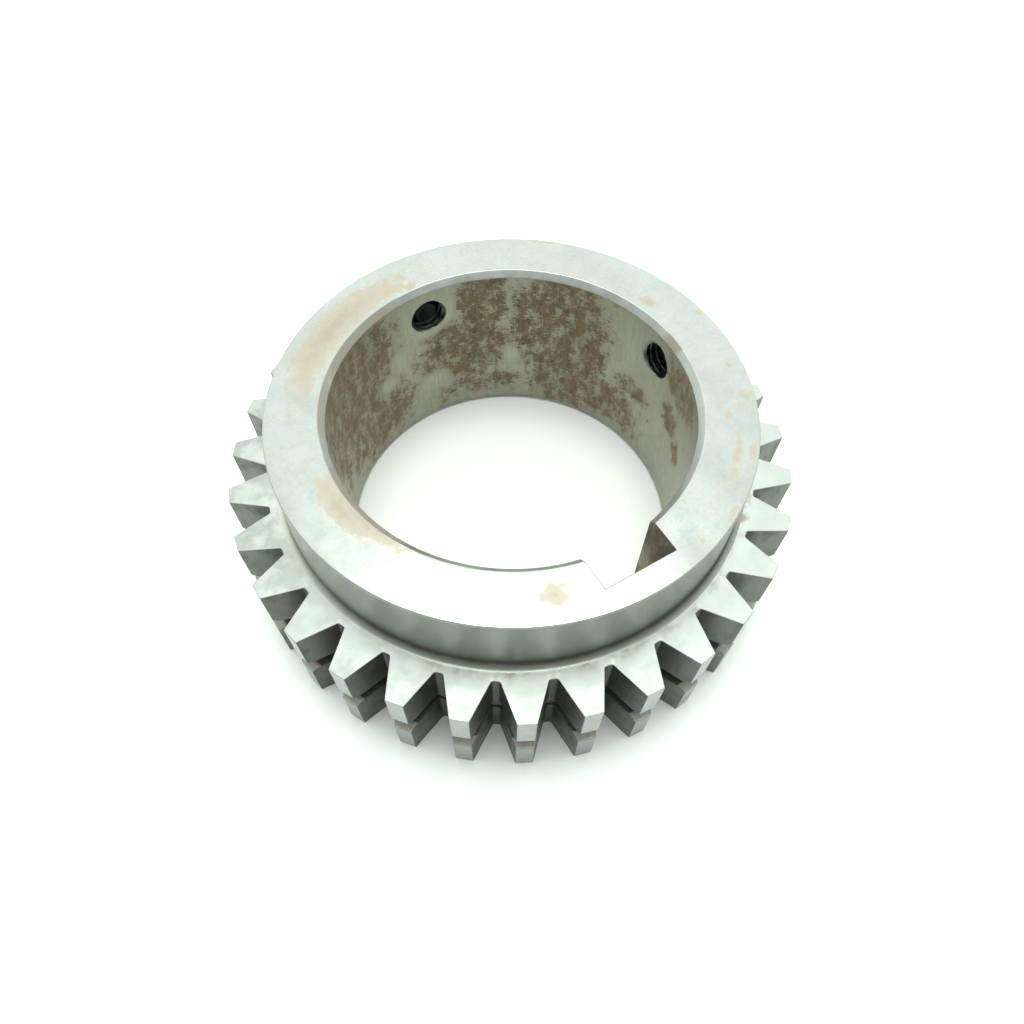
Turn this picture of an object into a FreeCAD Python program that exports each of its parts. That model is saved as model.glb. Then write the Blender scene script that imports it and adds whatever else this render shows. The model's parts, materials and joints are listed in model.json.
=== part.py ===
import FreeCAD, Part
import math
import os

# Finished-bore steel sprocket for a centre-guide silent (inverted-tooth) chain, with its two set
# screws. Millimetres. The origin is on the bore axis, half way along the teeth; +Z runs along the
# bore towards the hub. The keyway is centred on -Y; the set screws lie along +X and +Y.

INCH = 25.4

# Chain and teeth
PITCH = INCH / 2
TEETH = 31
TOOTH_ANGLE = 360 / TEETH
TIP_RADIUS = PITCH * (1 / math.tan(math.pi / TEETH) + 0.08) / 2
ROOT_RADIUS = 54.6
ROOT_FLAT = 1.6
ROOT_CORNER_RADIUS = 0.6
SPACE_HALF_ANGLE = 30 - TOOTH_ANGLE / 2
SPACE_OFFSET_ANGLE = 1.0
FACE_WIDTH = 17 / 16 * INCH
GUIDE_GROOVE_WIDTH = 3.6
GUIDE_GROOVE_MOUTH = 5.9
GUIDE_GROOVE_RADIUS = 54.2
GUIDE_LIP_RADIUS = 2.5

# Hub
HUB_RADIUS = 51.35
HUB_PROJECTION = 11 / 16 * INCH
HUB_EDGE_CHAMFER = 0.2
HUB_FILLET = 1.5

# Bore and keyway
BORE_RADIUS = 49 / 32 * INCH
BORE_CHAMFER = 1.3
KEYWAY_WIDTH = 5 / 8 * INCH
KEYWAY_SIDE_DEPTH = 5 / 16 * INCH
KEYWAY_ANGLE = -90

# Tapped holes for 3/8-16 set screws, drawn at their minor diameter
TAP_RADIUS = 5 / 32 * INCH
TAP_COUNTERSINK = 0.4
THREAD_PITCH = INCH / 16

# Set screws, drawn at their core diameter so that they run clear in the tapped holes
SCREW_RADIUS = TAP_RADIUS - 0.07
SCREW_LENGTH = 5 / 16 * INCH
SCREW_END_CHAMFER = 0.6
CUP_POINT_RADIUS = 2.6
CUP_RIM_WIDTH = 0.35
CUP_HALF_ANGLE = 59
SOCKET_ACROSS_FLATS = 3 / 16 * INCH
SOCKET_DEPTH = 4.0
SOCKET_DRILL_DEPTH = 0.8

# Node name, direction from the axis, and thread turns backed off from the shaft at rest
SCREWS = [
    ("set_screw_side", 0, 2),
    ("set_screw_opposite", 90, 1),
]

RIM_TOP = FACE_WIDTH / 2
RIM_BOTTOM = -FACE_WIDTH / 2
HUB_TOP = RIM_TOP + HUB_PROJECTION
OVERSHOOT = 1.0
AXIS = FreeCAD.Vector(0, 0, 1)
OUTWARD = FreeCAD.Vector(1, 0, 0)
CENTRE = FreeCAD.Vector(0, 0, 0)


def section_point(radius, height):
    return FreeCAD.Vector(radius, 0, height)


def line(start, end):
    return Part.LineSegment(start, end).toShape()


def arc(points):
    return Part.Arc(*points).toShape()


def chain(points):
    return [line(a, b) for a, b in zip(points, points[1:])]


def guide_groove_lip(side):
    """Three points on a rounded lip of the guide groove, from the tip circle to the groove wall."""
    drop = (GUIDE_GROOVE_MOUTH - GUIDE_GROOVE_WIDTH) / 2
    full_turn = math.acos(1 - drop / GUIDE_LIP_RADIUS)
    start = TIP_RADIUS - GUIDE_LIP_RADIUS * math.sin(full_turn)
    points = []
    for turn in (full_turn, full_turn / 2, 0):
        radius = start + GUIDE_LIP_RADIUS * math.sin(turn)
        fall = GUIDE_LIP_RADIUS * (1 - math.cos(turn))
        points.append(section_point(radius, side * (GUIDE_GROOVE_WIDTH / 2 + fall)))
    return points


def turned_blank():
    """The lathe-turned ring: bore with chamfers, rim with the guide groove, and hub."""
    half_groove = GUIDE_GROOVE_WIDTH / 2
    fillet_middle = HUB_FILLET * (1 - math.sqrt(0.5))
    lower_lip = guide_groove_lip(-1)
    upper_lip = guide_groove_lip(1)[::-1]
    fillet = [
        section_point(HUB_RADIUS + HUB_FILLET, RIM_TOP),
        section_point(HUB_RADIUS + fillet_middle, RIM_TOP + fillet_middle),
        section_point(HUB_RADIUS, RIM_TOP + HUB_FILLET),
    ]
    lower_rim = [
        section_point(BORE_RADIUS, RIM_BOTTOM + BORE_CHAMFER),
        section_point(BORE_RADIUS + BORE_CHAMFER, RIM_BOTTOM),
        section_point(TIP_RADIUS, RIM_BOTTOM),
        lower_lip[0],
    ]
    groove = [
        lower_lip[-1],
        section_point(GUIDE_GROOVE_RADIUS, -half_groove),
        section_point(GUIDE_GROOVE_RADIUS, half_groove),
        upper_lip[0],
    ]
    upper_rim = [
        upper_lip[-1],
        section_point(TIP_RADIUS, RIM_TOP),
        fillet[0],
    ]
    hub = [
        fillet[-1],
        section_point(HUB_RADIUS, HUB_TOP - HUB_EDGE_CHAMFER),
        section_point(HUB_RADIUS - HUB_EDGE_CHAMFER, HUB_TOP),
        section_point(BORE_RADIUS + BORE_CHAMFER, HUB_TOP),
        section_point(BORE_RADIUS, HUB_TOP - BORE_CHAMFER),
        lower_rim[0],
    ]
    edges = chain(lower_rim)
    edges.append(arc(lower_lip))
    edges += chain(groove)
    edges.append(arc(upper_lip))
    edges += chain(upper_rim)
    edges.append(arc(fillet))
    edges += chain(hub)
    section = Part.Face(Part.Wire(edges))
    return section.revolve(CENTRE, AXIS, 360)


def tooth_space_cutter():
    """The gap between two teeth, along +X: straight flanks and a flat root with round corners."""
    outer = TIP_RADIUS + OVERSHOOT
    half_root = ROOT_FLAT / 2
    half_mouth = half_root + (outer - ROOT_RADIUS) * math.tan(math.radians(SPACE_HALF_ANGLE))
    corners = [
        FreeCAD.Vector(ROOT_RADIUS, -half_root, RIM_BOTTOM - OVERSHOOT),
        FreeCAD.Vector(outer, -half_mouth, RIM_BOTTOM - OVERSHOOT),
        FreeCAD.Vector(outer, half_mouth, RIM_BOTTOM - OVERSHOOT),
        FreeCAD.Vector(ROOT_RADIUS, half_root, RIM_BOTTOM - OVERSHOOT),
    ]
    outline = Part.makePolygon(corners + corners[:1])
    prism = Part.Face(outline).extrude(AXIS * (FACE_WIDTH + 2 * OVERSHOOT))
    root_edges = [
        edge
        for edge in prism.Edges
        if all(abs(v.X - ROOT_RADIUS) < 0.01 for v in edge.Vertexes)
        and abs(edge.Vertexes[0].Z - edge.Vertexes[1].Z) > FACE_WIDTH
    ]
    return prism.makeFillet(ROOT_CORNER_RADIUS, root_edges)


def tooth_spaces():
    cutter = tooth_space_cutter()
    spaces = []
    for index in range(TEETH):
        space = cutter.copy()
        angle = KEYWAY_ANGLE + SPACE_OFFSET_ANGLE + index * TOOTH_ANGLE
        space.rotate(CENTRE, AXIS, angle)
        spaces.append(space)
    return spaces


def keyway():
    """A straight slot right through the bore, its depth measured at the side of the key."""
    half_width = KEYWAY_WIDTH / 2
    floor = math.sqrt(BORE_RADIUS**2 - half_width**2) + KEYWAY_SIDE_DEPTH
    height = FACE_WIDTH + HUB_PROJECTION + 2 * OVERSHOOT
    corner = FreeCAD.Vector(0, -half_width, RIM_BOTTOM - OVERSHOOT)
    slot = Part.makeBox(floor, KEYWAY_WIDTH, height, corner)
    slot.rotate(CENTRE, AXIS, KEYWAY_ANGLE)
    return slot


def screw_axis_height():
    return RIM_TOP + HUB_PROJECTION / 2


def tapped_hole(angle):
    """A radial hole through the hub wall, countersunk at both mouths."""
    height = screw_axis_height()
    start = BORE_RADIUS - OVERSHOOT
    length = HUB_RADIUS - BORE_RADIUS + 2 * OVERSHOOT
    wide = TAP_RADIUS + TAP_COUNTERSINK + OVERSHOOT
    depth = TAP_COUNTERSINK + OVERSHOOT
    inner = FreeCAD.Vector(start, 0, height)
    outer = FreeCAD.Vector(start + length, 0, height)
    hole = Part.makeCylinder(TAP_RADIUS, length, inner, OUTWARD)
    inner_sink = Part.makeCone(wide, TAP_RADIUS, depth, inner, OUTWARD)
    outer_sink = Part.makeCone(wide, TAP_RADIUS, depth, outer, OUTWARD * -1)
    shape = hole.fuse([inner_sink, outer_sink])
    shape.rotate(CENTRE, AXIS, angle)
    return shape


def sprocket_body():
    cuts = tooth_spaces()
    cuts.append(keyway())
    cuts += [tapped_hole(angle) for _, angle, _ in SCREWS]
    return turned_blank().cut(cuts)


def hexagon_prism(across_flats, start, length):
    corner_radius = across_flats / math.sqrt(3)
    points = []
    for index in range(7):
        turn = math.radians(60 * index)
        points.append(
            FreeCAD.Vector(start, corner_radius * math.cos(turn), corner_radius * math.sin(turn))
        )
    return Part.Face(Part.makePolygon(points)).extrude(OUTWARD * length)


def set_screw():
    """Cup point at x = 0, hexagon socket at the far end."""
    taper = SCREW_RADIUS - CUP_POINT_RADIUS
    end_radius = SCREW_RADIUS - SCREW_END_CHAMFER
    cup_radius = CUP_POINT_RADIUS - CUP_RIM_WIDTH
    cup_depth = cup_radius / math.tan(math.radians(CUP_HALF_ANGLE))
    middle_length = SCREW_LENGTH - taper - SCREW_END_CHAMFER
    middle_start = OUTWARD * taper
    chamfer_start = OUTWARD * (SCREW_LENGTH - SCREW_END_CHAMFER)
    socket_floor = SCREW_LENGTH - SOCKET_DEPTH
    point = Part.makeCone(CUP_POINT_RADIUS, SCREW_RADIUS, taper, CENTRE, OUTWARD)
    middle = Part.makeCylinder(SCREW_RADIUS, middle_length, middle_start, OUTWARD)
    end = Part.makeCone(SCREW_RADIUS, end_radius, SCREW_END_CHAMFER, chamfer_start, OUTWARD)
    cup = Part.makeCone(cup_radius, 0, cup_depth, CENTRE, OUTWARD)
    drill = Part.makeCone(
        SOCKET_ACROSS_FLATS / 2, 0, SOCKET_DRILL_DEPTH, OUTWARD * socket_floor, OUTWARD * -1
    )
    socket = hexagon_prism(SOCKET_ACROSS_FLATS, socket_floor, SOCKET_DEPTH + OVERSHOOT)
    return point.fuse([middle, end]).cut([cup, drill, socket]).removeSplitter()


def placed_screw(angle, turns_backed_off):
    screw = set_screw()
    reach = BORE_RADIUS + turns_backed_off * THREAD_PITCH
    screw.translate(FreeCAD.Vector(reach, 0, screw_axis_height()))
    screw.rotate(CENTRE, AXIS, angle)
    return screw


def export(name, shape):
    assert shape.isValid(), name
    assert len(shape.Solids) == 1, name
    solid = shape.Solids[0]
    solid.exportStep(f"parts/{name}.step")
    print(f"{name}: {solid.Volume / 1000:.2f} cm3")


os.makedirs("parts", exist_ok=True)
export("sprocket_body", sprocket_body())
for screw_name, screw_angle, turns in SCREWS:
    export(screw_name, placed_screw(screw_angle, turns))
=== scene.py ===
import json
import math

import bmesh
import bpy
import numpy as np
from mathutils import Matrix, Vector, geometry


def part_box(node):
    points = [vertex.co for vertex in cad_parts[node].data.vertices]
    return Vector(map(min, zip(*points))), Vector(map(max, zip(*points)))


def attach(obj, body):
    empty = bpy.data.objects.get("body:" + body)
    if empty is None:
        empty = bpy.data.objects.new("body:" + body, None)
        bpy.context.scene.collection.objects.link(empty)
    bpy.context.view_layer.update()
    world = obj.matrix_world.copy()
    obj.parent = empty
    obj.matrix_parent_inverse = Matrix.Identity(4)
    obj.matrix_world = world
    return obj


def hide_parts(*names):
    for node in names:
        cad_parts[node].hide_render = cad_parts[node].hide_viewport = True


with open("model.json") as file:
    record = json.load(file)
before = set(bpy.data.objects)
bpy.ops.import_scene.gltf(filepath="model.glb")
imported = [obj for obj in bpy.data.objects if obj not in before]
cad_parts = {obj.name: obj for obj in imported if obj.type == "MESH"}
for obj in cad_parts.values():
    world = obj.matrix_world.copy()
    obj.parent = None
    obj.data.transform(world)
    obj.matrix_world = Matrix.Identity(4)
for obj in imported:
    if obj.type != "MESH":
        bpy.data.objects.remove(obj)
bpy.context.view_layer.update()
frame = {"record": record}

# The looks of a centre-guide silent-chain sprocket and its two set screws. Metres, in the row's
# frame: +Z runs along the bore towards the hub, the keyway is on -Y, the screws on +X and +Y.

MM = 0.001
INCH = 25.4 * MM
TINY = 0.001 * MM

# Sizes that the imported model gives
BODY_LOW, BODY_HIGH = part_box("sprocket_body")
BOTTOM, TOP = BODY_LOW.z, BODY_HIGH.z
MOUNTS = {mount["name"]: mount for mount in frame["record"]["mounts"]}
BORE_RADIUS = MOUNTS["bore"]["dims"]["r_mm"] * MM
BORE_CHAMFER = (TOP - BOTTOM - MOUNTS["bore"]["dims"]["length_mm"] * MM) / 2
KEYWAY_FLOOR = -MOUNTS["keyway_floor"]["pos_m"][1]
RIM_TOP = -BOTTOM

# Teeth, guide groove and hub
TEETH = 31
TOOTH_ANGLE = 2 * math.pi / TEETH
CHAIN_PITCH = INCH / 2
TIP_RADIUS = CHAIN_PITCH * (1 / math.tan(math.pi / TEETH) + 0.08) / 2
ROOT_RADIUS = 54.6 * MM
ROOT_FLAT = 1.6 * MM
ROOT_CORNER = 0.6 * MM
TIP_CORNER = 0.18 * MM
SPACE_HALF_ANGLE = math.radians(30) - TOOTH_ANGLE / 2
FIRST_SPACE = math.radians(-90 + 1.0)
GROOVE_WIDTH = 3.6 * MM
GROOVE_MOUTH = 5.9 * MM
GROOVE_RADIUS = 54.2 * MM
LIP_RADIUS = 2.5 * MM
LIP_STEPS = 4
HUB_RADIUS = 51.35 * MM
HUB_FILLET = 1.5 * MM
HUB_EDGE = 0.2 * MM
EDGE = 0.14 * MM
EDGE_STEPS = 3
ARC_STEPS = 4
LAND_MARGIN = 0.03 * MM

# Flat strips beside the hub's and the bore's turned edges
SHELF_STRIP = 0.3 * MM
HUB_TOP_STRIP = 1.5 * MM
BORE_TOP_STRIP = 0.6 * MM

# Shading: how square to the axis a flat face is, and the angle above which an edge is sharp
FLAT_NORMAL = 0.99999
SHARP_ANGLE = math.radians(40)

# Keyway
KEYWAY_HALF = 5 / 16 * INCH
KEYWAY_CORNER = 0.35 * MM
KEYWAY_MOUTH = 0.12 * MM

# Columns round each turned surface
HUB_COLUMNS = 1200
BORE_COLUMNS = 1080
GROOVE_COLUMNS = 600

# 3/8-16 thread of the set screws and their holes
THREAD_PITCH = INCH / 16
THREAD_ROWS = 12
THREAD_COLUMNS = 60
THREAD_FLANK = 0.30
THREAD_CREST = 0.08
HOLE_MINOR = 5 / 32 * INCH
HOLE_MAJOR = 4.80 * MM
COUNTERSINK = 0.4 * MM
HOLE_OVERSHOOT = 8
SCREW_CORE = 3.80 * MM
SCREW_MAJOR = 4.70 * MM
SCREW_PITCHES = 5
CUP_POINT = 2.6 * MM
CUP_RADIUS = 2.25 * MM
CUP_DEPTH = 1.35 * MM
SCREW_END = 4.1 * MM
SOCKET_FLATS = 3 / 16 * INCH
SOCKET_DEPTH = 4.0 * MM
SOCKET_EDGE = 0.12 * MM
DRILL_RADIUS = 0.48 * SOCKET_FLATS
DRILL_DEPTH = 0.8 * MM
CENTRE_SPOT = 0.05 * MM
SCREW_HEIGHT = (RIM_TOP + TOP) / 2

# Piece, node, body, direction from the axis, and thread turns backed off from the bore wall
SCREWS = [
    ("side_set_screw", "set_screw_side", "side_screw", 0, 2),
    ("opposite_set_screw", "set_screw_opposite", "opposite_screw", 90, 1),
]

# Row of abstract punch marks on the hub's top face: place, size and spacing of its dents
PUNCH_RADIUS = 46.4 * MM
PUNCH_LENGTH = 1.7 * MM
PUNCH_WIDTH = math.radians(0.65)
PUNCH_STEP = math.radians(4.8)
PUNCH_SPAN = (PUNCH_STEP * 8, PUNCH_STEP * 18)

# Camera
LENS = 27.49
CAMERA_AZIMUTH = -31.5
CAMERA_ELEVATION = 49.75
CAMERA_DISTANCE = 164.8 * MM
CAMERA_ROLL = 0.924
CAMERA_TILT = -8.09
SENSOR_WIDTH = 36
CLIP_START = 10 * MM

# Studio: a pale floor, light that is brighter behind the object than behind the camera, a softbox
FLOOR_RADIUS = 3
FLOOR_POINTS = 96
FLOOR_COLOUR = (0.93, 0.95, 0.925)
FRONT_LIGHT = 0.7
BACK_LIGHT = 1.95
LIGHT_SPREAD = (-0.45, 0.9)
LIGHT_COLOUR = (0.955, 1, 0.975)
SOFTBOX_DISTANCE = 0.6
SOFTBOX_ELEVATION = 86
SOFTBOX_SIZE = (0.3, 0.3)
SOFTBOX_POWER = 2.5

# Finishes of the sprocket's surfaces, in the order of its material slots
REGIONS = (
    "top_face", "shelf", "hub_wall", "edge", "bore", "chamfer", "keyway", "flank", "tip",
    "lip", "groove", "underside", "tapped_hole",
)


# ---------------------------------------------------------------- outlines

def circle(radius, columns):
    step = 2 * math.pi / columns
    return [(radius * math.cos(i * step), radius * math.sin(i * step)) for i in range(columns)]


def rounded(corners):
    """Turns (x, y, radius) corners into an outline with an arc at each corner that has a radius."""
    outline = []
    for i, (x, y, radius) in enumerate(corners):
        corner = Vector((x, y))
        if radius == 0:
            outline.append((x, y))
            continue
        back = (Vector(corners[i - 1][:2]) - corner).normalized()
        ahead = (Vector(corners[(i + 1) % len(corners)][:2]) - corner).normalized()
        half = back.angle(ahead) / 2
        centre = corner + (back + ahead).normalized() * radius / math.sin(half)
        arm = corner + back * radius / math.tan(half) - centre
        turn = math.copysign(math.pi - 2 * half, -back.cross(ahead))
        for step in range(ARC_STEPS + 1):
            outline.append(tuple(centre + Matrix.Rotation(turn * step / ARC_STEPS, 2) @ arm))
    return outline


def inset(outline, amount):
    """Moves an anticlockwise outline inwards."""
    points = np.array(outline)
    ahead = np.roll(points, -1, 0) - points
    ahead /= np.linalg.norm(ahead, axis=1)[:, None]
    left = np.stack([-ahead[:, 1], ahead[:, 0]], 1)
    before = np.roll(left, 1, 0)
    shift = (left + before) / (1 + (left * before).sum(1))[:, None]
    return [tuple(point) for point in points + amount * shift]


def inside(points, outline):
    """Which points lie in a closed outline: an odd number of its edges lies to their right."""
    x, y = points[:, :1], points[:, 1:]
    x0, y0 = outline[:, 0], outline[:, 1]
    x1, y1 = np.roll(x0, -1), np.roll(y0, -1)
    rise = np.where(y1 == y0, 1, y1 - y0)
    crossing = x0 + (y - y0) * (x1 - x0) / rise
    passes = ((y0 > y) != (y1 > y)) & (x < crossing)
    return passes.sum(1) % 2 == 1


def tooth_outline(tip_radius):
    """All teeth: straight flanks, flat roots with round corners, and lands at the tip radius."""
    slope = Vector((math.cos(SPACE_HALF_ANGLE), math.sin(SPACE_HALF_ANGLE)))
    root = Vector((ROOT_RADIUS, ROOT_FLAT / 2))
    along = root.dot(slope)
    flank = math.sqrt(along**2 - root.length_squared + tip_radius**2) - along
    tip = root + slope * flank
    corners = []
    for index in range(TEETH):
        turn = Matrix.Rotation(FIRST_SPACE + index * TOOTH_ANGLE, 2)
        land = Matrix.Rotation(TOOTH_ANGLE / 2, 2) @ Vector((tip_radius, 0))
        places = [
            (tip.x, -tip.y, TIP_CORNER),
            (root.x, -root.y, ROOT_CORNER),
            (root.x, root.y, ROOT_CORNER),
            (tip.x, tip.y, TIP_CORNER),
            (land.x, land.y, 0),
        ]
        corners += [(*(turn @ Vector((x, y))), radius) for x, y, radius in places]
    return rounded(corners)


def bore_outline(radius, grow):
    """The bore and its keyway. The keyway's sides and floor stand back by grow."""
    half = KEYWAY_HALF + grow
    start = math.asin(half / radius) - math.pi / 2
    step = (1.5 * math.pi - math.asin(half / radius) - start) / BORE_COLUMNS
    mouth = radius * math.sin(start)
    floor = -KEYWAY_FLOOR - grow
    corners = [(half, mouth, KEYWAY_MOUTH)]
    for i in range(1, BORE_COLUMNS):
        angle = start + i * step
        corners.append((radius * math.cos(angle), radius * math.sin(angle), 0))
    corners.append((-half, mouth, KEYWAY_MOUTH))
    corners.append((-half, floor, KEYWAY_CORNER))
    corners.append((half, floor, KEYWAY_CORNER))
    return rounded(corners)


def hexagon(across_flats):
    radius = across_flats / math.sqrt(3)
    return circle(radius, 6)


def split_regions(outline, limit, pick, inner, outer):
    """A region for each segment of an outline, by the distance of its ends from the axis."""
    reach = [math.hypot(x, y) for x, y in outline]
    pairs = zip(reach, reach[1:] + reach[:1])
    return [outer if pick(pair) > limit else inner for pair in pairs]


# ---------------------------------------------------------------- meshes

class Shell:
    """The rings and faces of one closed mesh, each face with a region name."""

    def __init__(self):
        self.points = []
        self.faces = []
        self.regions = []

    def ring(self, outline, height):
        start = len(self.points)
        self.points += [(x, y, height) for x, y in outline]
        return list(range(start, len(self.points)))

    def skirt(self, first, second, region):
        """Quads between two rings with the same number of points."""
        names = region if isinstance(region, list) else [region] * len(first)
        for i, name in enumerate(names):
            j = (i + 1) % len(first)
            self.faces.append((first[i], first[j], second[j], second[i]))
            self.regions.append(name)

    def cap(self, ring, region):
        self.faces.append(tuple(ring))
        self.regions.append(region)

    def flat(self, outer, inner, region):
        """Fills the plane between an outer and an inner ring."""
        indices = list(outer) + list(inner)
        plan = np.array([self.points[i][:2] for i in indices])
        n, m = len(outer), len(inner)
        edges = [(i, (i + 1) % n) for i in range(n)]
        edges += [(n + i, n + (i + 1) % m) for i in range(m)]
        corners = [Vector(point) / MM for point in plan]
        _, _, triangles, source, *_ = geometry.delaunay_2d_cdt(corners, edges, [], 0, 1e-7)
        triangles = np.array([[source[i][0] for i in triangle] for triangle in triangles])
        middles = plan[triangles].mean(1)
        kept = inside(middles, plan[:n]) & ~inside(middles, plan[n:])
        for triangle in triangles[kept]:
            self.faces.append(tuple(indices[i] for i in triangle))
            self.regions.append(region)

    def mesh(self, name, regions, place=Matrix.Identity(4)):
        mesh = bpy.data.meshes.new(name)
        mesh.from_pydata(self.points, [], self.faces)
        slots = [regions.index(region) for region in self.regions]
        mesh.polygons.foreach_set("material_index", slots)
        mesh.transform(place)
        shape = bmesh.new()
        shape.from_mesh(mesh)
        bmesh.ops.recalc_face_normals(shape, faces=shape.faces)
        shape.to_mesh(mesh)
        shape.free()
        return mesh


def add_object(name, mesh, materials=()):
    piece = bpy.data.objects.new(name, mesh)
    bpy.context.scene.collection.objects.link(piece)
    for material in materials:
        mesh.materials.append(material)
    return piece


def smooth(piece):
    """Smooth shading, except on faces square to the axis and across sharp edges."""
    piece.data.shade_smooth()
    for face in piece.data.polygons:
        face.use_smooth = abs(face.normal.z) < FLAT_NORMAL
    piece.data.set_sharp_from_angle(angle=SHARP_ANGLE)
    weighted = piece.modifiers.new("even_shading", "WEIGHTED_NORMAL")
    weighted.keep_sharp = True
    weighted.weight = 100


# ---------------------------------------------------------------- sprocket

def lip_profile():
    """Radius and height of the groove's rounded lip, from the groove wall to the tip circle."""
    full_turn = math.acos(1 - (GROOVE_MOUTH - GROOVE_WIDTH) / 2 / LIP_RADIUS)
    start = TIP_RADIUS - LIP_RADIUS * math.sin(full_turn)
    profile = []
    for step in range(LIP_STEPS + 1):
        turn = full_turn * step / LIP_STEPS
        fall = LIP_RADIUS * (1 - math.cos(turn))
        profile.append((start + LIP_RADIUS * math.sin(turn), GROOVE_WIDTH / 2 + fall))
    return profile


def tooth_band(shell, side):
    """The teeth on one side of the groove. Returns the ring at the groove and the outer one."""
    rings = []
    lands = []
    for radius, height in lip_profile():
        outline = tooth_outline(radius)
        rings.append(shell.ring(outline, side * height))
        lands.append(split_regions(outline, radius - LAND_MARGIN, min, "flank", "lip"))
    lands[-1] = ["tip" if land == "lip" else land for land in lands[-1]]
    for step in range(EDGE_STEPS + 1):
        turn = math.pi / 2 * step / EDGE_STEPS
        height = RIM_TOP - EDGE * (1 - math.sin(turn))
        rings.append(shell.ring(inset(outline, EDGE * (1 - math.cos(turn))), side * height))
    regions = lands + ["edge"] * EDGE_STEPS
    for first, second, region in zip(rings, rings[1:], regions):
        shell.skirt(first, second, region)
    return rings[0], rings[-1]


def hub_rings(shell):
    """The hub outside, from the shelf up to the top face."""
    profile = rounded([
        (HUB_RADIUS + HUB_FILLET + SHELF_STRIP, RIM_TOP, 0),
        (HUB_RADIUS, RIM_TOP, HUB_FILLET),
        (HUB_RADIUS, TOP - HUB_EDGE, EDGE),
        (HUB_RADIUS - HUB_EDGE, TOP, EDGE),
        (HUB_RADIUS - HUB_TOP_STRIP, TOP, 0),
    ])
    rings = [shell.ring(circle(radius, HUB_COLUMNS), height) for radius, height in profile]
    for i in range(len(rings) - 1):
        z0, z1 = profile[i][1], profile[i + 1][1]
        if max(z0, z1) < RIM_TOP + TINY:
            region = "shelf"
        elif min(z0, z1) > TOP - TINY:
            region = "top_face"
        elif min(z0, z1) > TOP - HUB_EDGE - EDGE:
            region = "edge"
        else:
            region = "hub_wall"
        shell.skirt(rings[i], rings[i + 1], region)
    return rings[0], rings[-1]


def bore_rings(shell):
    """The bore with its chamfers and keyway, from the underside to the top face."""
    wide = BORE_RADIUS + BORE_CHAMFER
    half_profile = rounded([
        (wide + BORE_TOP_STRIP, TOP, 0),
        (wide, TOP, 2 * EDGE),
        (wide - EDGE, TOP - EDGE, 0),
        (BORE_RADIUS, TOP - BORE_CHAMFER, 2 * EDGE),
        (BORE_RADIUS, SCREW_HEIGHT, 0),
    ])
    middle = (TOP + BOTTOM) / 2
    mirrored = [(radius, 2 * middle - height) for radius, height in reversed(half_profile)]
    rings = []
    for radius, height in half_profile + mirrored:
        depth = min(TOP - height, height - BOTTOM)
        grow = EDGE - math.sqrt(EDGE**2 - (EDGE - depth) ** 2) if depth < EDGE else 0
        rings.append((radius, height, grow))
    made = [shell.ring(bore_outline(radius, grow), height) for radius, height, grow in rings]
    for i in range(len(made) - 1):
        radius = max(rings[i][0], rings[i + 1][0])
        level = (rings[i][1] + rings[i + 1][1]) / 2
        if level > TOP - TINY:
            wall = "top_face"
        elif level < BOTTOM + TINY:
            wall = "underside"
        elif radius > BORE_RADIUS + TINY:
            wall = "chamfer"
        else:
            wall = "bore"
        slot = wall if wall in ("top_face", "underside") else "keyway"
        outline = bore_outline(rings[i][0], rings[i][2])
        names = split_regions(outline, rings[i][0] + TINY, max, wall, slot)
        shell.skirt(made[i], made[i + 1], names)
    return made[-1], made[0]


def sprocket_shell():
    shell = Shell()
    bottom_inner, top_inner = bore_rings(shell)
    shelf_inner, top_outer = hub_rings(shell)
    half_groove = GROOVE_WIDTH / 2
    lower_lip, bottom_outer = tooth_band(shell, -1)
    upper_lip, shelf_outer = tooth_band(shell, 1)
    floor = circle(GROOVE_RADIUS, GROOVE_COLUMNS)
    floor_low, floor_high = shell.ring(floor, -half_groove), shell.ring(floor, half_groove)
    shell.skirt(floor_low, floor_high, "groove")
    shell.flat(bottom_outer, bottom_inner, "underside")
    shell.flat(lower_lip, floor_low, "groove")
    shell.flat(upper_lip, floor_high, "groove")
    shell.flat(shelf_outer, shelf_inner, "shelf")
    shell.flat(top_outer, top_inner, "top_face")
    return shell


def thread_share(distance, angle):
    """Height of the 60-degree thread, from 0 at its root to 1 at its crest."""
    turn = (distance / THREAD_PITCH - angle / (2 * math.pi)) % 1
    return min(1, max(0, (THREAD_CREST + THREAD_FLANK - abs(turn - 0.5)) / THREAD_FLANK))


def radial(turn_angle):
    """Places a shape built along +Z, from the bore wall outwards, on a radius of the hub."""
    lay = Matrix.Rotation(math.pi / 2, 4, "Y")
    turn = Matrix.Rotation(math.radians(turn_angle), 4, "Z")
    height = Matrix.Translation((0, 0, SCREW_HEIGHT))
    return height @ turn @ lay @ Matrix.Translation((0, 0, BORE_RADIUS))


def threaded_rings(shell, first_row, last_row, radius_at, region):
    """Rings one row of the thread apart, so that a hole and its screw have the same rows."""
    rings = []
    for row in range(first_row, last_row + 1):
        distance = row * THREAD_PITCH / THREAD_ROWS
        outline = []
        for column in range(THREAD_COLUMNS):
            angle = 2 * math.pi * column / THREAD_COLUMNS
            radius = radius_at(distance, thread_share(distance, angle))
            outline.append((radius * math.cos(angle), radius * math.sin(angle)))
        rings.append(shell.ring(outline, distance))
    for first, second in zip(rings, rings[1:]):
        shell.skirt(first, second, region)
    return rings[0], rings[-1]


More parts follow.
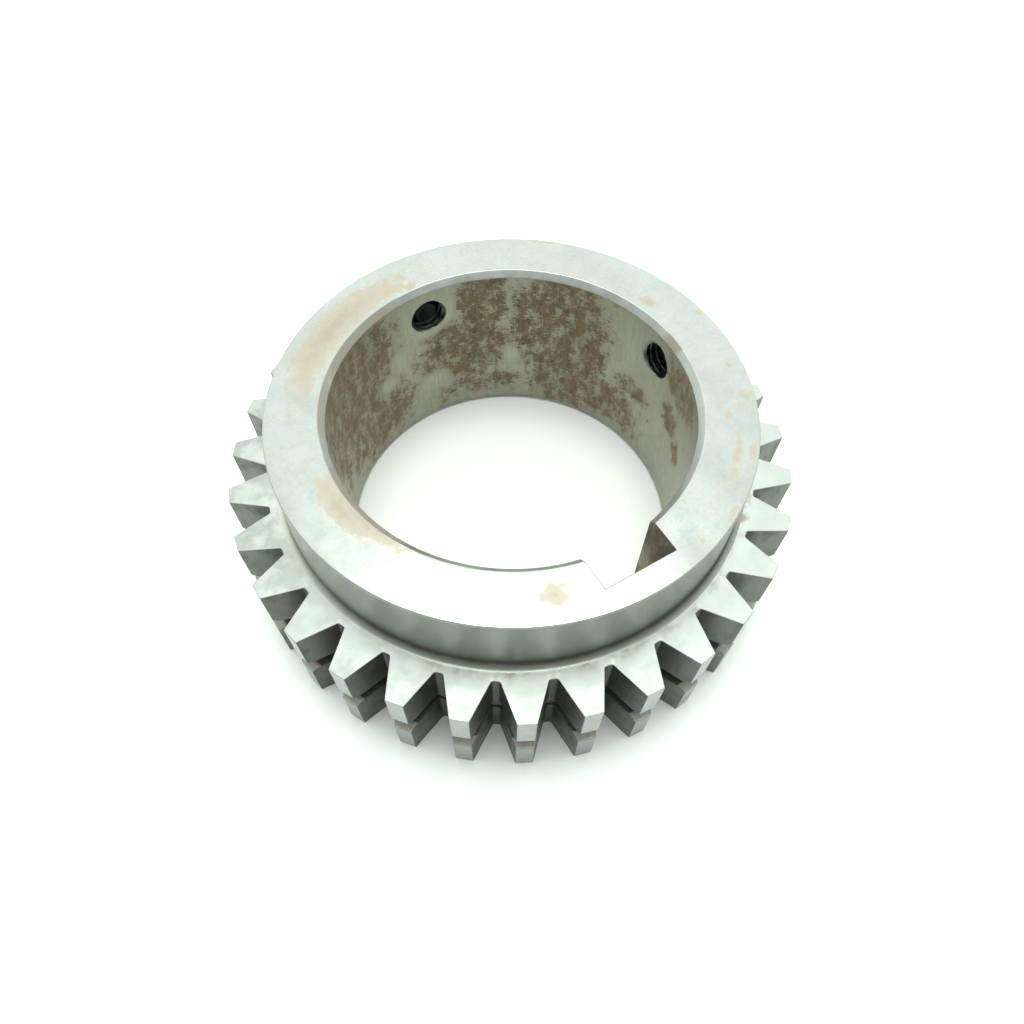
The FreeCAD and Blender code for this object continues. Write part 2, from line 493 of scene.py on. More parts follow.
def tapped_hole(turn_angle, materials):
    """The solid that a tap and a countersink take out of the hub wall."""
    wall = HUB_RADIUS - BORE_RADIUS
    rows = math.ceil(wall / THREAD_PITCH * THREAD_ROWS) + HOLE_OVERSHOOT

    def radius_at(distance, share):
        thread = HOLE_MINOR + (HOLE_MAJOR - HOLE_MINOR) * share
        from_mouth = min(distance, wall - distance)
        return max(thread, HOLE_MINOR + COUNTERSINK - from_mouth)

    shell = Shell()
    ends = threaded_rings(shell, -HOLE_OVERSHOOT, rows, radius_at, "tapped_hole")
    for end in ends:
        shell.cap(end, "tapped_hole")
    mesh = shell.mesh("tap", REGIONS, radial(turn_angle))
    return add_object("tap", mesh, materials)


def sprocket(materials):
    mesh = sprocket_shell().mesh("sprocket", REGIONS)
    blank = add_object("sprocket_blank", mesh, materials)
    taps = [tapped_hole(angle, materials) for *_, angle, _ in SCREWS]
    for tap in taps:
        cut = blank.modifiers.new("tap", "BOOLEAN")
        cut.operation = "DIFFERENCE"
        cut.solver = "EXACT"
        cut.object = tap
    bpy.context.view_layer.update()
    graph = bpy.context.evaluated_depsgraph_get()
    drilled = bpy.data.meshes.new_from_object(blank.evaluated_get(graph))
    for unused in [blank, *taps]:
        bpy.data.objects.remove(unused)
    drilled.name = "sprocket"
    piece = add_object("sprocket", drilled)
    smooth(piece)
    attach(piece, "sprocket")
    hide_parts("sprocket_body")
    return piece


# ---------------------------------------------------------------- set screws

SCREW_REGIONS = ("thread", "face", "socket")


def screw_shell():
    """Cup point at height 0, thread, and an end face with a hexagon socket."""
    length = SCREW_PITCHES * THREAD_PITCH

    def radius_at(distance, share):
        thread = SCREW_CORE + (SCREW_MAJOR - SCREW_CORE) * share
        return min(thread, CUP_POINT + distance, SCREW_END + length - distance)

    shell = Shell()
    cup_middle = shell.ring(circle(CENTRE_SPOT, THREAD_COLUMNS), CUP_DEPTH)
    cup_edge = shell.ring(circle(CUP_RADIUS, THREAD_COLUMNS), 0)
    point, end = threaded_rings(shell, 0, SCREW_PITCHES * THREAD_ROWS, radius_at, "thread")
    mouth = shell.ring(hexagon(SOCKET_FLATS + 2 * SOCKET_EDGE), length)
    socket_top = shell.ring(hexagon(SOCKET_FLATS), length - SOCKET_EDGE)
    socket_floor = shell.ring(hexagon(SOCKET_FLATS), length - SOCKET_DEPTH)
    drill_edge = shell.ring(circle(DRILL_RADIUS, THREAD_COLUMNS), length - SOCKET_DEPTH)
    drill_end = length - SOCKET_DEPTH - DRILL_DEPTH
    drill_middle = shell.ring(circle(CENTRE_SPOT, THREAD_COLUMNS), drill_end)
    shell.cap(cup_middle, "face")
    shell.skirt(cup_middle, cup_edge, "face")
    shell.skirt(cup_edge, point, "face")
    shell.flat(end, mouth, "face")
    shell.skirt(mouth, socket_top, "face")
    shell.skirt(socket_top, socket_floor, "socket")
    shell.flat(socket_floor, drill_edge, "socket")
    shell.skirt(drill_edge, drill_middle, "socket")
    shell.cap(drill_middle, "socket")
    return shell


def set_screws(materials):
    for name, node, body, turn_angle, turns in SCREWS:
        place = radial(turn_angle) @ Matrix.Translation((0, 0, turns * THREAD_PITCH))
        screw = add_object(name, screw_shell().mesh(name, SCREW_REGIONS, place), materials)
        smooth(screw)
        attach(screw, body)
        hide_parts(node)


# ---------------------------------------------------------------- finishes

class Finish:
    """A material, with short calls for the nodes that its pattern is made of."""

    def __init__(self, name):
        self.material = bpy.data.materials.new(name)
        self.material.use_nodes = True
        self.shader = self.material.node_tree.nodes["Principled BSDF"]
        self.position = self.node("TexCoord", {}, "Object")
        split = self.node("SeparateXYZ", {0: self.position})
        x, y, self.height = split.outputs
        self.angle = self.math("ARCTAN2", y, x)
        across = self.node("CombineXYZ", {0: x, 1: y}, 0)
        self.radius = self.node("VectorMath", {0: across}, "Value", operation="LENGTH")
        self.round = self.node("VectorMath", {0: across}, "Vector", operation="NORMALIZE")

    def node(self, kind, inputs, output=None, **settings):
        node = self.material.node_tree.nodes.new("ShaderNode" + kind)
        for key, value in settings.items():
            setattr(node, key, value)
        for key, value in inputs.items():
            self.feed(node.inputs[key], value)
        return node if output is None else node.outputs[output]

    def feed(self, socket, value):
        if isinstance(value, bpy.types.NodeSocket):
            self.material.node_tree.links.new(value, socket)
        else:
            socket.default_value = value

    def math(self, operation, first, second=0.0):
        return self.node("Math", {0: first, 1: second}, 0, operation=operation)

    def ease(self, value, low, high, start=0.0, end=1.0):
        """A smooth step from start to end as value goes from low to high."""
        inputs = {
            "Value": value, "From Min": low, "From Max": high, "To Min": start, "To Max": end,
        }
        return self.node("MapRange", inputs, "Result", interpolation_type="SMOOTHSTEP")

    def noise(self, sizes, detail=2.0, roughness=0.5, shift=0.0, space=None):
        """Noise whose grains have these sizes along x, y and z."""
        where = self.position if space is None else space
        scale = tuple(1 / size for size in sizes)
        inputs = {0: where, 1: scale, 2: (shift, shift / 2, -shift)}
        vector = self.node("VectorMath", inputs, "Vector", operation="MULTIPLY_ADD")
        inputs = {"Vector": vector, "Scale": 1.0, "Detail": detail, "Roughness": roughness}
        return self.node("TexNoise", inputs, 0)

    def faced(self, size, shift=0.0):
        """Concentric tool marks on a flat face, one every size or so."""
        depth = self.math("DIVIDE", self.radius, size)
        lifted = self.node("CombineXYZ", {2: depth}, 0)
        inputs = {0: self.round, 1: (1.5, 1.5, 0), 2: lifted}
        space = self.node("VectorMath", inputs, "Vector", operation="MULTIPLY_ADD")
        return self.noise((1, 1, 1), 2, 0.6, shift, space)

    def turned(self, size, shift=0.0):
        """Tool marks round a turned wall."""
        return self.noise((30 * MM, 30 * MM, size), 2, 0.6, shift)

    def drawn(self, size, length, shift=0.0):
        """Marks along the axis, as a broach or a drag leaves them."""
        return self.noise((size, size, length), 2, 0.6, shift)

    def patch(self, level, place, angle, size, span):
        """1 in the middle of a patch on a ring, 0 outside it. The level is a radius or a height."""
        turn = math.radians(angle)
        ahead, aside = (math.cos(turn), math.sin(turn), 0), (-math.sin(turn), math.cos(turn), 0)
        inputs = [{0: self.round, 1: way} for way in (aside, ahead)]
        parts = [self.node("VectorMath", each, "Value", operation="DOT_PRODUCT") for each in inputs]
        around = self.math("DIVIDE", self.math("ARCTAN2", *parts), math.radians(span))
        across = self.math("DIVIDE", self.math("SUBTRACT", level, place), size)
        distance = self.node("CombineXYZ", {0: around, 1: across}, 0)
        distance = self.node("VectorMath", {0: distance}, "Value", operation="LENGTH")
        return self.math("MAXIMUM", self.math("SUBTRACT", 1.0, distance), 0.0)

    def patches(self, level, places):
        """The strongest of several patches, each (weight, place in mm, angle, size in mm, span)."""
        total = None
        for weight, place, angle, size, span in places:
            patch = self.patch(level, place * MM, angle, size * MM, span)
            patch = self.math("MULTIPLY", patch, weight)
            total = patch if total is None else self.math("MAXIMUM", total, patch)
        return total

    def punched(self):
        """A row of short radial dents from a blunt punch, 1 in the middle of each."""
        turn = self.math("FRACT", self.math("DIVIDE", self.angle, PUNCH_STEP))
        across = self.math("DIVIDE", self.math("SUBTRACT", turn, 0.5), PUNCH_WIDTH / PUNCH_STEP)
        along = self.math("SUBTRACT", self.radius, PUNCH_RADIUS)
        along = self.math("DIVIDE", along, PUNCH_LENGTH)
        distance = self.node("CombineXYZ", {0: across, 1: along}, 0)
        distance = self.node("VectorMath", {0: distance}, "Value", operation="LENGTH")
        dent = self.ease(distance, 0.4, 1.0, 1.0, 0.0)
        start, end = PUNCH_SPAN
        middle = self.math("SUBTRACT", self.angle, (start + end) / 2)
        marked = self.math("LESS_THAN", self.math("ABSOLUTE", middle), (end - start) / 2)
        return self.math("MULTIPLY", dent, marked)

    def blend(self, share, first, second):
        inputs = {"Factor": share, 6: self.colour(first), 7: self.colour(second)}
        return self.node("Mix", inputs, 2, data_type="RGBA")

    def colour(self, value):
        return value if isinstance(value, bpy.types.NodeSocket) else (*value, 1.0)

    def shade(self, colour, tone):
        """A colour made lighter or darker by a tone near 1."""
        grey = self.node("CombineColor", {0: tone, 1: tone, 2: tone}, 0)
        inputs = {"Factor": 1.0, 6: self.colour(colour), 7: grey}
        return self.node("Mix", inputs, 2, data_type="RGBA", blend_type="MULTIPLY")

    def lerp(self, share, first, second):
        return self.node("Mix", {"Factor": share, 2: first, 3: second}, 0)

    def done(self, colour, roughness, relief, depth, rust=None):
        """Sets the shader. Relief runs from 0 to 1 over depth; rust is the share that isn't metal."""
        self.feed(self.shader.inputs["Base Color"], colour)
        self.feed(self.shader.inputs["Roughness"], roughness)
        bare = 1.0 if rust is None else self.math("SUBTRACT", 1.0, rust)
        self.feed(self.shader.inputs["Metallic"], bare)
        inputs = {"Height": relief, "Distance": depth}
        self.feed(self.shader.inputs["Normal"], self.node("Bump", inputs, "Normal"))
        return self.material


# Linear colours
STEEL = (0.27, 0.295, 0.25)
BRIGHT_STEEL = (0.40, 0.43, 0.40)
DARK_STEEL = (0.128, 0.142, 0.120)
BORE_STEEL = (0.37, 0.385, 0.305)
RUST = (0.172, 0.119, 0.061)
DARK_RUST = (0.097, 0.069, 0.037)
ORANGE_RUST = (0.215, 0.128, 0.060)
TAN = (0.37, 0.315, 0.235)
# Dark colour for soiling and for painted shade
GRIME_AND_SHADE = (0.035, 0.033, 0.026)
OXIDE = (0.020, 0.022, 0.020)


def top_face():
    """The faced end of the hub, with tan handling stains and a row of shallow punch marks."""
    f = Finish("hub_top_face")
    marks = f.faced(0.35 * MM)
    clouds = f.noise((9 * MM, 9 * MM, 9 * MM), 4, 0.6)
    grain = f.noise((0.7 * MM, 0.7 * MM, 0.7 * MM), 3, 0.6, 3.0)
    places = f.patches(f.radius, [
        (1.00, 45.0, 122, 6.0, 42),
        (0.70, 43.0, 100, 3.4, 12),
        (0.40, 46.0, 155, 3.2, 8),
        (0.70, 41.6, 94, 2.8, 4),
        (1.00, 42.4, 189, 4.2, 19),
        (0.95, 40.8, 194, 3.2, 28),
        (0.80, 45.4, 249, 4.0, 6.5),
        (0.45, 49.8, 222, 1.8, 4),
        (0.85, 43.1, 13, 2.8, 4),
        (0.60, 49.2, -28, 3.2, 3.5),
        (0.60, 47.1, -46, 2.0, 14),
        (0.55, 45.0, -35, 1.8, 3),
        (0.55, 50.2, -64, 1.8, 6),
        (0.55, 49.8, 1, 1.8, 3.5),
        (0.55, 50.9, 50, 1.4, 13),
        (0.60, 50.0, -46, 1.6, 6),
        (0.55, 48.0, -18, 1.5, 3),
        (0.50, 48.6, -74, 1.5, 3),
        (0.50, 45.2, -58, 1.5, 3),
    ])
    ragged = f.noise((1.9 * MM, 1.9 * MM, 1.9 * MM), 6, 0.68, 7.0)
    stained = f.math("ADD", ragged, places)
    stain = f.ease(stained, 0.70, 1.00, 0.0, 0.8)
    core = f.ease(stained, 1.05, 1.45, 0.0, 0.2)
    tone = f.math("ADD", f.ease(clouds, 0.3, 0.7, 0.95, 1.05), f.ease(grain, 0.3, 0.7, -0.03, 0.03))
    bare = f.shade(BRIGHT_STEEL, tone)
    colour = f.blend(core, f.blend(stain, bare, TAN), RUST)
    roughness = f.math("ADD", f.ease(clouds, 0.3, 0.7, 0.22, 0.28), f.math("MULTIPLY", stain, 0.25))
    relief = f.math("SUBTRACT", f.math("MULTIPLY", marks, 0.025), f.punched())
    return f.done(colour, roughness, relief, 0.10 * MM, f.math("MULTIPLY", stain, 0.8))


def shelf():
    """The rim's upper side and the tooth tops, with a faint rust line round the hub."""
    f = Finish("rim_upper_side")
    marks = f.faced(0.45 * MM, 5.0)
    clouds = f.noise((6 * MM, 6 * MM, 6 * MM), 4, 0.6, 2.0)
    smears = f.noise((3 * MM, 3 * MM, 3 * MM), 5, 0.65, 9.0)
    foot = HUB_RADIUS + HUB_FILLET
    near_hub = f.ease(f.radius, foot, foot + 2.4 * MM, 1.0, 0.0)
    line = f.math("MULTIPLY", f.ease(smears, 0.46, 0.64), near_hub)
    sides = f.patches(f.radius, [(1.0, 53, -60, 6, 38), (0.8, 53, -115, 6, 33)])
    # Smudges and painted shade: cloudy darker patches on the left of the rim.
    smudges_and_shade = f.patches(f.radius, [(1.0, 59, 158, 16, 60), (0.5, 61, 212, 9, 24)])
    rust = f.math("MULTIPLY", line, f.ease(sides, 0.0, 0.5, 0.12, 0.75))
    dark = f.math("MULTIPLY", f.ease(clouds, 0.34, 0.58), f.ease(smudges_and_shade, 0.0, 0.7, 0.03, 0.42))
    # Painted light: the rim is brighter towards the hub's foot.
    painted_light = f.ease(f.radius, foot, foot + 5 * MM, 1.25, 1.0)
    tone = f.math("MULTIPLY", f.ease(clouds, 0.3, 0.7, 1.06, 1.16), painted_light)
    bare = f.blend(dark, f.shade(BRIGHT_STEEL, tone), DARK_STEEL)
    colour = f.blend(rust, bare, TAN)
    roughness = f.ease(smears, 0.3, 0.7, 0.50, 0.58)
    return f.done(colour, roughness, marks, 0.004 * MM, rust)


def hub_wall():
    """The turned outside of the hub: soiling and painted shade in the fillet at its foot, and painted
    light on one side.
    """
    f = Finish("hub_outside")
    marks = f.turned(0.4 * MM)
    clouds = f.noise((5 * MM, 5 * MM, 12 * MM), 4, 0.6, 4.0)
    # Soiling and painted shade: a darker band low on the wall, just above the fillet.
    above = f.ease(f.height, RIM_TOP + 1.0 * MM, RIM_TOP + 3.4 * MM, 1.0, 0.0)
    below = f.ease(f.height, RIM_TOP + 0.1 * MM, RIM_TOP + 0.8 * MM)
    # Painted light: a brighter patch on the left side of the wall, where the dark band is also weakened.
    painted_light = f.patches(f.height, [(1.0, 22, 165, 80, 46)])
    dirt_and_painted_shade = f.math("MULTIPLY", f.math("MULTIPLY", above, below), f.ease(clouds, 0.3, 0.7, 0.55, 0.85))
    dirt_and_painted_shade = f.math("MULTIPLY", dirt_and_painted_shade, f.ease(painted_light, 0.0, 0.5, 1.0, 0.3))
    tone = f.math("ADD", f.ease(clouds, 0.3, 0.7, 0.86, 1.04), f.math("MULTIPLY", painted_light, 1.0))
    colour = f.blend(dirt_and_painted_shade, f.shade(STEEL, tone), GRIME_AND_SHADE)
    roughness = f.ease(clouds, 0.3, 0.7, 0.32, 0.38)
    return f.done(colour, roughness, marks, 0.005 * MM, f.math("MULTIPLY", dirt_and_painted_shade, 0.5))


def bore():
    """The bored wall: rust that has been dragged along the bore and scratched round it."""
    f = Finish("bore_wall")
    drags = f.drawn(0.5 * MM, 7 * MM)
    dashes = f.noise((1.3 * MM, 1.3 * MM, 0.22 * MM), 2, 0.6, 6.0)
    blotches = f.noise((2.6 * MM, 2.6 * MM, 3.4 * MM), 6, 0.66, 1.0)
    fine = f.noise((0.4 * MM, 0.4 * MM, 0.3 * MM), 3, 0.65, 8.0)
    turned = f.turned(0.35 * MM, 6.0)
    heavy = f.patches(f.height, [
        (1.00, 20, 135, 32, 42),
        (0.75, -1, 120, 15, 34),
        (0.90, 7.5, 78, 17, 27),
        (1.00, 24, 70, 15, 14),
        (1.00, 12, 38, 36, 24),
        (0.60, 14, 57, 22, 12),
        (0.75, 7, 7, 5, 14),
        (0.50, -4, 9, 14, 14),
        (0.95, -3, 22, 10, 16),
        (1.00, 24, -19, 8, 17),
        (0.85, 12, -15, 6, 9),
        (0.70, 7.5, -25, 5, 7),
        (0.45, -5, 72, 10, 44),
        (0.60, 6, 240, 40, 60),
    ])
    clean = f.patches(f.height, [
        (1.0, 22.6, 91, 8.2, 13.5),
        (0.5, 13, 104, 6, 8),
        (0.45, 8, 111, 5, 7),
        (0.45, 4, 59, 6, 6),
        (0.45, 0, 89, 7, 12),
        (0.7, 23, 6, 10, 13),
    ])
    broken = f.math("ADD", f.math("MULTIPLY", blotches, 0.6), f.math("MULTIPLY", dashes, 0.25))
    cleaned = f.ease(f.math("ADD", clean, broken), 0.55, 0.95)
    spread = f.math("ADD", f.math("MULTIPLY", blotches, 0.65), f.math("MULTIPLY", drags, 0.26))
    spread = f.math("ADD", spread, f.math("MULTIPLY", dashes, 0.40))
    spread = f.math("ADD", spread, f.math("MULTIPLY", fine, 0.22))
    spread = f.math("ADD", spread, f.math("MULTIPLY", f.ease(heavy, 0.0, 0.5), 0.19))
    spread = f.math("SUBTRACT", spread, f.math("MULTIPLY", cleaned, 0.3))
    rust = f.ease(spread, 0.87, 0.97)
    smeared = f.math("MULTIPLY", f.ease(heavy, 0.0, 0.6, 0.0, 0.5), f.math("SUBTRACT", 1.0, cleaned))
    veil = f.math("MAXIMUM", f.ease(spread, 0.71, 0.92, 0.05, 0.4), smeared)
    tone = f.math("ADD", f.ease(drags, 0.3, 0.7, 0.9, 1.06), f.ease(fine, 0.3, 0.7, -0.07, 0.07))
    bare = f.blend(veil, f.shade(BORE_STEEL, tone), f.shade(TAN, 0.64))
    brown = f.blend(f.ease(blotches, 0.4, 0.65), RUST, DARK_RUST)
    brown = f.blend(f.ease(drags, 0.35, 0.65), brown, ORANGE_RUST)
    colour = f.blend(f.math("MULTIPLY", rust, 0.85), bare, brown)
    roughness = f.lerp(rust, f.ease(fine, 0.3, 0.7, 0.38, 0.5), 0.68)
    relief = f.math("ADD", f.math("MULTIPLY", turned, 0.5), f.math("MULTIPLY", rust, 0.5))
    share = f.math("ADD", f.math("MULTIPLY", rust, 0.6), f.math("MULTIPLY", veil, 0.4))
    return f.done(colour, roughness, relief, 0.02 * MM, share)


def chamfer():
    """The bore's two chamfers, bright where they are bare and tan where they are stained."""
    f = Finish("bore_chamfers")
    marks = f.turned(0.2 * MM, 2.0)
    clouds = f.noise((4 * MM, 4 * MM, 4 * MM), 4, 0.6, 5.0)
    places = f.patches(f.radius, [
        (0.9, 40, 122, 8, 34), (0.8, 40, 152, 8, 22), (0.9, 40, 190, 8, 26), (1.0, 40, -5, 8, 6),
    ])
    stained = f.math("ADD", f.math("MULTIPLY", clouds, 0.9), places)
    stain = f.ease(stained, 0.6, 1.0, 0.0, 0.8)
    colour = f.blend(stain, f.shade(BRIGHT_STEEL, f.ease(clouds, 0.3, 0.7, 0.92, 1.08)), f.shade(TAN, 0.6))
    return f.done(colour, f.ease(clouds, 0.3, 0.7, 0.40, 0.48), marks, 0.006 * MM, stain)


def keyway():
    """Broached sides and floor, with drag lines along the slot and old rust; painted shade adds rust
    further from the axis, and painted light makes them lighter at the bottom and darker near the top.
    """
    f = Finish("keyway_sides")
    drags = f.drawn(0.35 * MM, 14 * MM, 3.0)
    blotches = f.noise((2.5 * MM, 2.5 * MM, 5 * MM), 5, 0.62, 2.0)
    # Painted shade: more rust further from the axis, darkening the far end of the slot.
    painted_depth_shade = f.ease(f.radius, BORE_RADIUS + 1.5 * MM, BORE_RADIUS + 5 * MM, 0.0, 0.16)
    rust = f.ease(f.math("ADD", blotches, painted_depth_shade), 0.42, 0.66, 0.45, 0.85)
    bare = f.shade(BORE_STEEL, f.ease(drags, 0.3, 0.7, 0.7, 1.2))
    brown = f.blend(f.ease(drags, 0.35, 0.65), RUST, DARK_RUST)
    # Painted light: lighter towards the bottom, darker near the top.
    wear_and_painted_light = f.ease(f.height, TOP - 18 * MM, TOP - 3 * MM, 1.5, 0.7)
    colour = f.shade(f.blend(rust, bare, brown), wear_and_painted_light)
    return f.done(colour, f.lerp(rust, 0.4, 0.75), drags, 0.015 * MM, rust)


def flank():
    """Hobbed tooth flanks and roots: feed marks, cloudy soiling, painted shade towards the root, and
    painted shade on the front flanks with painted light on the others.
    """
    f = Finish("tooth_flanks")
    marks = f.noise((14 * MM, 14 * MM, 0.9 * MM), 2, 0.6, 1.0)
    drags = f.drawn(0.5 * MM, 9 * MM, 7.0)
    clouds = f.noise((3 * MM, 3 * MM, 5 * MM), 4, 0.62, 3.0)
    # Painted shade: darker towards the root.
    painted_depth_shade = f.ease(f.radius, ROOT_RADIUS, ROOT_RADIUS + 4 * MM, 0.35, 0.0)
    dirt_and_shade = f.math("ADD", f.ease(clouds, 0.45, 0.7, 0.0, 0.4), painted_depth_shade)
    tone = f.math("ADD", f.ease(clouds, 0.3, 0.7, 0.9, 1.1), f.ease(drags, 0.3, 0.7, -0.05, 0.05))
    # Painted shade on the flanks round the front, painted light on the rest.
    painted_front_shade = f.patches(f.height, [(1.0, 0, 226, 60, 75)])
    tone = f.math("MULTIPLY", tone, f.ease(painted_front_shade, 0.0, 0.8, 1.35, 0.85))
    # The flanks' dark steel is itself painted shade.
    colour = f.blend(dirt_and_shade, f.shade(DARK_STEEL, tone), GRIME_AND_SHADE)
    roughness = f.lerp(dirt_and_shade, f.ease(clouds, 0.3, 0.7, 0.36, 0.46), 0.6)
    relief = f.math("ADD", f.math("MULTIPLY", marks, 0.6), f.math("MULTIPLY", drags, 0.4))
    return f.done(colour, roughness, relief, 0.012 * MM, f.math("MULTIPLY", dirt_and_shade, 0.6))


def tip():
    """The lands of the teeth, turned bright, with painted shade on the lower row."""
    f = Finish("tooth_tips")
    marks = f.turned(0.35 * MM, 8.0)
    clouds = f.noise((2 * MM, 2 * MM, 3 * MM), 4, 0.6, 6.0)
    # Painted shade: the lower row is darker.
    wear_and_painted_light = f.ease(f.height, -4 * MM, 4 * MM, 0.8, 1.0)
    tone = f.math("MULTIPLY", f.ease(clouds, 0.3, 0.7, 0.86, 1.06), wear_and_painted_light)
    colour = f.shade(BRIGHT_STEEL, tone)
    return f.done(colour, f.ease(clouds, 0.3, 0.7, 0.32, 0.42), marks, 0.006 * MM)


def lip():
    """The rounded mouth of the guide groove, burnished and browned by the chain's guide links."""
    f = Finish("groove_lips")
    marks = f.turned(0.3 * MM, 4.0)
    clouds = f.noise((2 * MM, 2 * MM, 2 * MM), 4, 0.6, 1.0)
    brown = f.ease(clouds, 0.35, 0.65, 0.2, 0.6)
    colour = f.blend(brown, f.shade(BRIGHT_STEEL, 0.8), f.shade(TAN, 0.7))
    roughness = f.ease(clouds, 0.3, 0.7, 0.40, 0.50)
    return f.done(colour, roughness, marks, 0.006 * MM, f.math("MULTIPLY", brown, 0.5))


def edge():
    """The rubbed edges."""
    f = Finish("rubbed_edges")
    grain = f.noise((0.8 * MM, 0.8 * MM, 0.8 * MM), 3, 0.6)
    colour = f.shade(BRIGHT_STEEL, f.ease(grain, 0.3, 0.7, 0.9, 1.1))
    return f.done(colour, f.ease(grain, 0.3, 0.7, 0.45, 0.55), grain, 0.01 * MM)


def groove():
    """The walls and floor of the guide groove, darkened as painted shade, with blotches of soiling."""
    f = Finish("guide_groove")
    marks = f.faced(0.3 * MM, 2.0)
    clouds = f.noise((3 * MM, 3 * MM, 3 * MM), 4, 0.6, 2.0)
    dirt_and_shade = f.ease(clouds, 0.35, 0.65, 0.1, 0.5)
    # Painted shade: the groove's steel is darkened, and blotches darken it further.
    colour = f.blend(dirt_and_shade, f.shade(STEEL, 0.45), GRIME_AND_SHADE)
    return f.done(colour, f.lerp(dirt_and_shade, 0.5, 0.7), marks, 0.01 * MM, f.math("MULTIPLY", dirt_and_shade, 0.6))


def underside():
    """The faced end that rests on the bench: tool marks, scuffs and light rust."""
    f = Finish("rim_underside")
    marks = f.faced(0.5 * MM, 8.0)
    clouds = f.noise((7 * MM, 7 * MM, 7 * MM), 4, 0.6, 8.0)
    ragged = f.noise((2.2 * MM, 2.2 * MM, 2.2 * MM), 5, 0.65, 4.0)
    rust = f.ease(f.math("ADD", clouds, f.math("MULTIPLY", ragged, 0.6)), 0.86, 1.02, 0.0, 0.7)
    tone = f.math("ADD", f.ease(clouds, 0.3, 0.7, 0.86, 1.04), f.ease(marks, 0.3, 0.7, -0.06, 0.06))
    colour = f.blend(rust, f.shade(STEEL, tone), RUST)
    return f.done(colour, f.lerp(rust, 0.36, 0.7), marks, 0.01 * MM, rust)


def tapped_thread():
    """Thread of the holes, painted darker inside as shade, with plain steel at the lips of the
    countersinks.
    """
    f = Finish("tapped_threads")
    clouds = f.noise((1.5 * MM, 1.5 * MM, 1.5 * MM), 3, 0.6)
    near_bore = f.ease(f.radius, BORE_RADIUS - 0.2 * MM, BORE_RADIUS + 0.9 * MM, 1.0, 0.0)
    near_outside = f.ease(f.radius, HUB_RADIUS - 0.9 * MM, HUB_RADIUS + 0.1 * MM)
    mouth = f.math("MAXIMUM", near_bore, near_outside)
    # Painted shade: the thread is darker away from the two mouths.
    dark = f.shade(DARK_STEEL, f.ease(clouds, 0.3, 0.7, 0.35, 0.7))
    colour = f.blend(mouth, dark, STEEL)
    return f.done(colour, f.ease(clouds, 0.3, 0.7, 0.3, 0.42), clouds, 0.01 * MM)


def black_oxide(name, size, wear):
    """Blackened steel with worn grains of this size."""
    f = Finish(name)
    grain = f.noise((size, size, size), 3, 0.6)
    wear_and_painted_light = f.ease(grain, 0.55, 0.75, 0.0, wear)
    colour = f.blend(wear_and_painted_light, OXIDE, DARK_STEEL)
    return f.done(colour, f.ease(grain, 0.3, 0.7, 0.45, 0.6), grain, 0.008 * MM)


FINISHES = {
    "top_face": top_face, "shelf": shelf, "hub_wall": hub_wall, "edge": edge, "bore": bore,
    "chamfer": chamfer, "keyway": keyway, "flank": flank, "tip": tip, "lip": lip,
    "groove": groove, "underside": underside, "tapped_hole": tapped_thread,
}
sprocket([FINISHES[region]() for region in REGIONS])
set_screws([
    black_oxide("screw_thread", 0.8 * MM, 0.5),
    black_oxide("screw_ends", 0.6 * MM, 0.2),
    black_oxide("screw_socket", 0.5 * MM, 0.3),
])


# ---------------------------------------------------------------- studio

def studio_floor():
    mesh = bpy.data.meshes.new("floor")
    outline = [(x, y, BOTTOM) for x, y in circle(FLOOR_RADIUS, FLOOR_POINTS)]
    mesh.from_pydata(outline, [], [list(range(len(outline)))])
    floor = add_object("floor", mesh)
    material = bpy.data.materials.new("floor")
    material.use_nodes = True
    shader = material.node_tree.nodes["Principled BSDF"]
    shader.inputs["Base Color"].default_value = (*FLOOR_COLOUR, 1)
    shader.inputs["Roughness"].default_value = 0.9
    shader.inputs["Specular IOR Level"].default_value = 0.1
    mesh.materials.append(material)


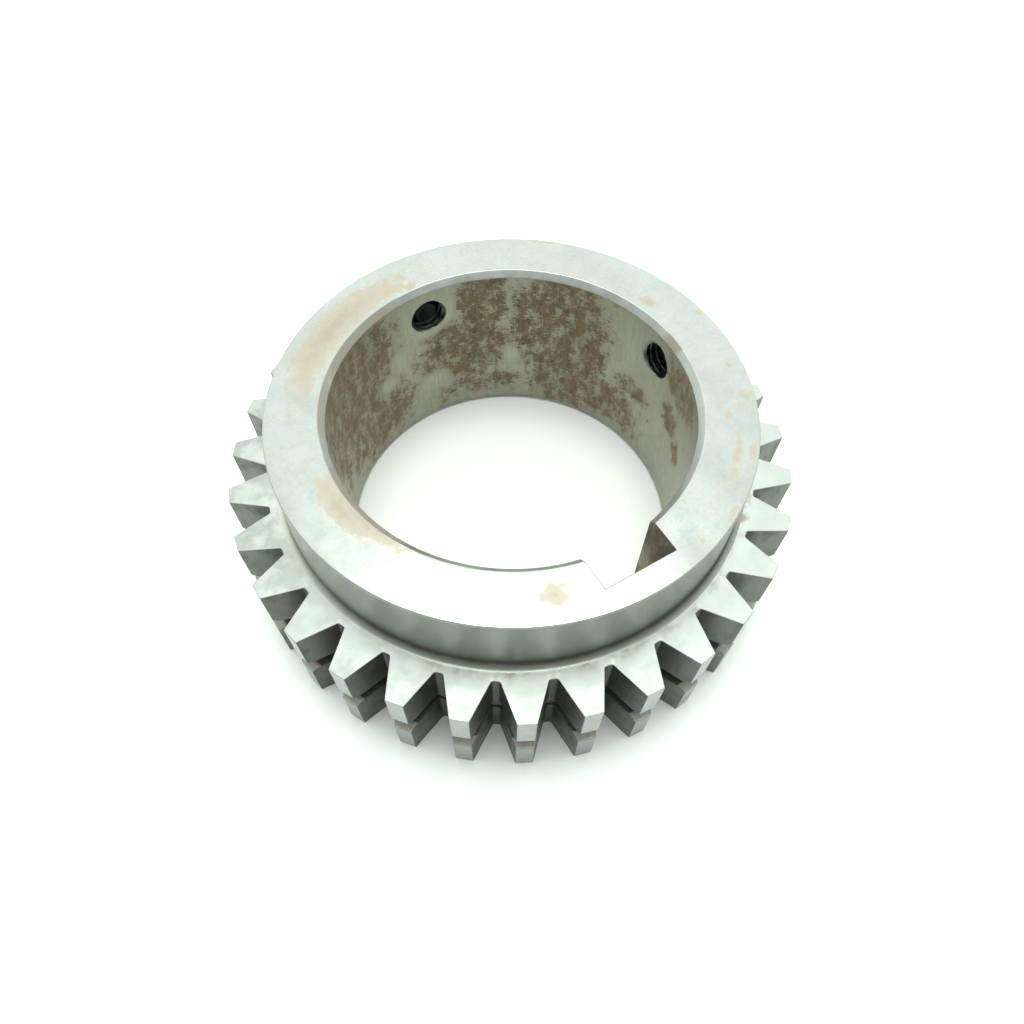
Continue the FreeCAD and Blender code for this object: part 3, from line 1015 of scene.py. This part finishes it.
def studio_world():
    """Even light that grows from in front of the object to behind it."""
    world = bpy.data.worlds.new("studio")
    bpy.context.scene.world = world
    world.use_nodes = True
    nodes, links = world.node_tree.nodes, world.node_tree.links
    background = nodes["Background"]
    direction = nodes.new("ShaderNodeTexCoord").outputs["Generated"]
    facing = nodes.new("ShaderNodeVectorMath")
    facing.operation = "DOT_PRODUCT"
    away = math.radians(90 + CAMERA_AZIMUTH)
    facing.inputs[1].default_value = (math.cos(away), math.sin(away), 0)
    links.new(direction, facing.inputs[0])
    spread = nodes.new("ShaderNodeMapRange")
    spread.interpolation_type = "SMOOTHSTEP"
    start, end = LIGHT_SPREAD
    values = {"From Min": start, "From Max": end, "To Min": FRONT_LIGHT, "To Max": BACK_LIGHT}
    for name, value in values.items():
        spread.inputs[name].default_value = value
    links.new(facing.outputs["Value"], spread.inputs["Value"])
    links.new(spread.outputs["Result"], background.inputs["Strength"])
    background.inputs["Color"].default_value = (*LIGHT_COLOUR, 1)


def studio_softbox():
    """A soft light above and a little behind the object, facing it."""
    data = bpy.data.lights.new("softbox", "AREA")
    data.shape = "RECTANGLE"
    data.size, data.size_y = SOFTBOX_SIZE
    data.energy = SOFTBOX_POWER
    data.color = LIGHT_COLOUR
    softbox = bpy.data.objects.new("softbox", data)
    bpy.context.scene.collection.objects.link(softbox)
    turn = Matrix.Rotation(math.radians(CAMERA_AZIMUTH + 180), 4, "Z")
    tilt = Matrix.Rotation(math.radians(90 - SOFTBOX_ELEVATION), 4, "X")
    softbox.matrix_world = turn @ tilt @ Matrix.Translation((0, 0, SOFTBOX_DISTANCE))


def studio_camera():
    data = bpy.data.cameras.new("camera")
    data.lens = LENS
    data.sensor_width = SENSOR_WIDTH
    data.clip_start = CLIP_START
    camera = bpy.data.objects.new("camera", data)
    bpy.context.scene.collection.objects.link(camera)
    turn = Matrix.Rotation(math.radians(CAMERA_AZIMUTH), 4, "Z")
    turn = turn @ Matrix.Rotation(math.radians(90 - CAMERA_ELEVATION), 4, "X")
    aim = Matrix.Rotation(math.radians(CAMERA_ROLL), 4, "Z")
    aim = aim @ Matrix.Rotation(math.radians(CAMERA_TILT), 4, "X")
    place = Vector((0, 0, TOP)) + turn.to_3x3() @ Vector((0, 0, CAMERA_DISTANCE))
    camera.matrix_world = Matrix.Translation(place) @ turn @ aim
    bpy.context.scene.camera = camera


studio_floor()
studio_world()
studio_softbox()
studio_camera()
bpy.context.scene.view_settings.view_transform = "Standard"

bpy.context.view_layer.update()
